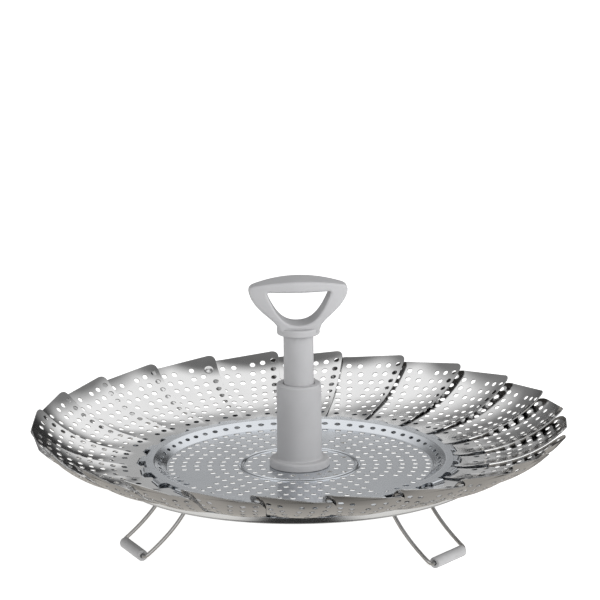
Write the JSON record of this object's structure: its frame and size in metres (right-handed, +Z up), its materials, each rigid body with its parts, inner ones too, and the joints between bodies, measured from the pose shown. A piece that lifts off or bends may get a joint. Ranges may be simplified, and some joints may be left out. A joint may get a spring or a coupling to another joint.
{
  "type": "steaming rack",
  "caption": "Folding steaming rack: perforated steel base plate with overlapping petals hooked round it, fold-out wire legs on soft feet and a telescoping grey handle.",
  "frame": {"origin": "on the table, under the axis of the handle", "axes": "+Z up along the handle, -Y towards the front, +X to the right"},
  "size_m": [0.2762, 0.2762, 0.1351],
  "materials": {
    "polished_steel": "polished stainless steel sheet, faintly brushed",
    "petal_steel": "thin polished stainless steel sheet",
    "wire_steel": "drawn stainless steel wire",
    "screw_steel": "plain stainless steel, satin",
    "grey_plastic": "moulded light warm grey plastic, satin",
    "grey_silicone": "matte grey silicone tube",
    "dark_rubber": "matte dark rubber"
  },
  "bodies": {
    "base": {"base_plate": "polished_steel", "leg_strap_right": "polished_steel", "leg_strap_back": "polished_steel", "leg_strap_left": "polished_steel", "handle_socket": "grey_plastic", "socket_plug": "grey_plastic", "fixing_washer": "polished_steel", "fixing_screw": "screw_steel"},
    "pull": {"handle_stem": "grey_plastic", "friction_ring": "dark_rubber", "handle_grip": "grey_plastic"},
    "leg_right": {"leg_wire_right": "wire_steel", "foot_sleeve_right": "grey_silicone"},
    "leg_back": {"leg_wire_back": "wire_steel", "foot_sleeve_back": "grey_silicone"},
    "leg_left": {"leg_wire_left": "wire_steel", "foot_sleeve_left": "grey_silicone"},
    "petal_01_body": {"petal_01": "petal_steel"},
    "petal_02_body": {"petal_02": "petal_steel"},
    "petal_03_body": {"petal_03": "petal_steel"},
    "petal_04_body": {"petal_04": "petal_steel"},
    "petal_05_body": {"petal_05": "petal_steel"},
    "petal_06_body": {"petal_06": "petal_steel"},
    "petal_07_body": {"petal_07": "petal_steel"},
    "petal_08_body": {"petal_08": "petal_steel"},
    "petal_09_body": {"petal_09": "petal_steel"},
    "petal_10_body": {"petal_10": "petal_steel"},
    "petal_11_body": {"petal_11": "petal_steel"},
    "petal_12_body": {"petal_12": "petal_steel"},
    "petal_13_body": {"petal_13": "petal_steel"},
    "petal_14_body": {"petal_14": "petal_steel"},
    "petal_15_body": {"petal_15": "petal_steel"},
    "petal_16_body": {"petal_16": "petal_steel"},
    "petal_17_body": {"petal_17": "petal_steel"},
    "petal_18_body": {"petal_18": "petal_steel"},
    "petal_19_body": {"petal_19": "petal_steel"},
    "petal_20_body": {"petal_20": "petal_steel"},
    "petal_21_body": {"petal_21": "petal_steel"},
    "petal_22_body": {"petal_22": "petal_steel"},
    "petal_23_body": {"petal_23": "petal_steel"},
    "petal_24_body": {"petal_24": "petal_steel"}
  },
  "joints": [
    {"name": "handle_slide", "type": "slide", "parent": "base", "child": "pull", "axis": [0, 0, 1], "range_m": [-0.0257, 0]},
    {"name": "leg_right_fold", "type": "hinge", "parent": "base", "child": "leg_right", "pos_m": [0.05312, -0.03917, 0.0332], "axis": [0.5934, 0.8049, 0], "range_deg": [0, 120]},
    {"name": "leg_back_fold", "type": "hinge", "parent": "base", "child": "leg_back", "pos_m": [0.00736, 0.06559, 0.0332], "axis": [-0.9938, 0.1115, 0], "range_deg": [0, 120]},
    {"name": "leg_left_fold", "type": "hinge", "parent": "base", "child": "leg_left", "pos_m": [-0.06048, -0.02642, 0.0332], "axis": [0.4003, -0.9164, 0], "range_deg": [0, 120]},
    {"name": "petal_01_fold", "type": "hinge", "parent": "base", "child": "petal_01_body", "pos_m": [0.00256, 0.08146, 0.03775], "axis": [0.9895, -0.1444, 0], "range_deg": [0, 95]},
    {"name": "petal_02_fold", "type": "hinge", "parent": "base", "child": "petal_02_body", "pos_m": [0.02356, 0.07802, 0.03775], "axis": [0.9184, -0.3955, 0], "range_deg": [0, 95]},
    {"name": "petal_03_fold", "type": "hinge", "parent": "base", "child": "petal_03_body", "pos_m": [0.04295, 0.06927, 0.03775], "axis": [0.7848, -0.6198, 0], "range_deg": [0, 95]},
    {"name": "petal_04_fold", "type": "hinge", "parent": "base", "child": "petal_04_body", "pos_m": [0.05941, 0.05579, 0.03775], "axis": [0.5976, -0.8018, 0], "range_deg": [0, 95]},
    {"name": "petal_05_fold", "type": "hinge", "parent": "base", "child": "petal_05_body", "pos_m": [0.07183, 0.03851, 0.03775], "axis": [0.3697, -0.9291, 0], "range_deg": [0, 95]},
    {"name": "petal_06_fold", "type": "hinge", "parent": "base", "child": "petal_06_body", "pos_m": [0.07935, 0.01861, 0.03775], "axis": [0.1167, -0.9932, 0], "range_deg": [0, 95]},
    {"name": "petal_07_fold", "type": "hinge", "parent": "base", "child": "petal_07_body", "pos_m": [0.08146, -0.00256, 0.03775], "axis": [-0.1444, -0.9895, 0], "range_deg": [0, 95]},
    {"name": "petal_08_fold", "type": "hinge", "parent": "base", "child": "petal_08_body", "pos_m": [0.07802, -0.02356, 0.03775], "axis": [-0.3955, -0.9184, 0], "range_deg": [0, 95]},
    {"name": "petal_09_fold", "type": "hinge", "parent": "base", "child": "petal_09_body", "pos_m": [0.06927, -0.04295, 0.03775], "axis": [-0.6198, -0.7848, 0], "range_deg": [0, 95]},
    {"name": "petal_10_fold", "type": "hinge", "parent": "base", "child": "petal_10_body", "pos_m": [0.05579, -0.05941, 0.03775], "axis": [-0.8018, -0.5976, 0], "range_deg": [0, 95]},
    {"name": "petal_11_fold", "type": "hinge", "parent": "base", "child": "petal_11_body", "pos_m": [0.03851, -0.07183, 0.03775], "axis": [-0.9291, -0.3697, 0], "range_deg": [0, 95]},
    {"name": "petal_12_fold", "type": "hinge", "parent": "base", "child": "petal_12_body", "pos_m": [0.01861, -0.07935, 0.03775], "axis": [-0.9932, -0.1167, 0], "range_deg": [0, 95]},
    {"name": "petal_13_fold", "type": "hinge", "parent": "base", "child": "petal_13_body", "pos_m": [-0.00256, -0.08146, 0.03775], "axis": [-0.9895, 0.1444, 0], "range_deg": [0, 95]},
    {"name": "petal_14_fold", "type": "hinge", "parent": "base", "child": "petal_14_body", "pos_m": [-0.02356, -0.07802, 0.03775], "axis": [-0.9184, 0.3955, 0], "range_deg": [0, 95]},
    {"name": "petal_15_fold", "type": "hinge", "parent": "base", "child": "petal_15_body", "pos_m": [-0.04295, -0.06927, 0.03775], "axis": [-0.7848, 0.6198, 0], "range_deg": [0, 95]},
    {"name": "petal_16_fold", "type": "hinge", "parent": "base", "child": "petal_16_body", "pos_m": [-0.05941, -0.05579, 0.03775], "axis": [-0.5976, 0.8018, 0], "range_deg": [0, 95]},
    {"name": "petal_17_fold", "type": "hinge", "parent": "base", "child": "petal_17_body", "pos_m": [-0.07183, -0.03851, 0.03775], "axis": [-0.3697, 0.9291, 0], "range_deg": [0, 95]},
    {"name": "petal_18_fold", "type": "hinge", "parent": "base", "child": "petal_18_body", "pos_m": [-0.07935, -0.01861, 0.03775], "axis": [-0.1167, 0.9932, 0], "range_deg": [0, 95]},
    {"name": "petal_19_fold", "type": "hinge", "parent": "base", "child": "petal_19_body", "pos_m": [-0.08146, 0.00256, 0.03775], "axis": [0.1444, 0.9895, 0], "range_deg": [0, 95]},
    {"name": "petal_20_fold", "type": "hinge", "parent": "base", "child": "petal_20_body", "pos_m": [-0.07802, 0.02356, 0.03775], "axis": [0.3955, 0.9184, 0], "range_deg": [0, 95]},
    {"name": "petal_21_fold", "type": "hinge", "parent": "base", "child": "petal_21_body", "pos_m": [-0.06927, 0.04295, 0.03775], "axis": [0.6198, 0.7848, 0], "range_deg": [0, 95]},
    {"name": "petal_22_fold", "type": "hinge", "parent": "base", "child": "petal_22_body", "pos_m": [-0.05579, 0.05941, 0.03775], "axis": [0.8018, 0.5976, 0], "range_deg": [0, 95]},
    {"name": "petal_23_fold", "type": "hinge", "parent": "base", "child": "petal_23_body", "pos_m": [-0.03851, 0.07183, 0.03775], "axis": [0.9291, 0.3697, 0], "range_deg": [0, 95]},
    {"name": "petal_24_fold", "type": "hinge", "parent": "base", "child": "petal_24_body", "pos_m": [-0.01861, 0.07935, 0.03775], "axis": [0.9932, 0.1167, 0], "range_deg": [0, 95]}
  ],
  "couplings": [
    {"joint": "petal_02_fold", "follows": "petal_01_fold", "ratio": 1},
    {"joint": "petal_03_fold", "follows": "petal_01_fold", "ratio": 1},
    {"joint": "petal_04_fold", "follows": "petal_01_fold", "ratio": 1},
    {"joint": "petal_05_fold", "follows": "petal_01_fold", "ratio": 1},
    {"joint": "petal_06_fold", "follows": "petal_01_fold", "ratio": 1},
    {"joint": "petal_07_fold", "follows": "petal_01_fold", "ratio": 1},
    {"joint": "petal_08_fold", "follows": "petal_01_fold", "ratio": 1},
    {"joint": "petal_09_fold", "follows": "petal_01_fold", "ratio": 1},
    {"joint": "petal_10_fold", "follows": "petal_01_fold", "ratio": 1},
    {"joint": "petal_11_fold", "follows": "petal_01_fold", "ratio": 1},
    {"joint": "petal_12_fold", "follows": "petal_01_fold", "ratio": 1},
    {"joint": "petal_13_fold", "follows": "petal_01_fold", "ratio": 1},
    {"joint": "petal_14_fold", "follows": "petal_01_fold", "ratio": 1},
    {"joint": "petal_15_fold", "follows": "petal_01_fold", "ratio": 1},
    {"joint": "petal_16_fold", "follows": "petal_01_fold", "ratio": 1},
    {"joint": "petal_17_fold", "follows": "petal_01_fold", "ratio": 1},
    {"joint": "petal_18_fold", "follows": "petal_01_fold", "ratio": 1},
    {"joint": "petal_19_fold", "follows": "petal_01_fold", "ratio": 1},
    {"joint": "petal_20_fold", "follows": "petal_01_fold", "ratio": 1},
    {"joint": "petal_21_fold", "follows": "petal_01_fold", "ratio": 1},
    {"joint": "petal_22_fold", "follows": "petal_01_fold", "ratio": 1},
    {"joint": "petal_23_fold", "follows": "petal_01_fold", "ratio": 1},
    {"joint": "petal_24_fold", "follows": "petal_01_fold", "ratio": 1}
  ]
}
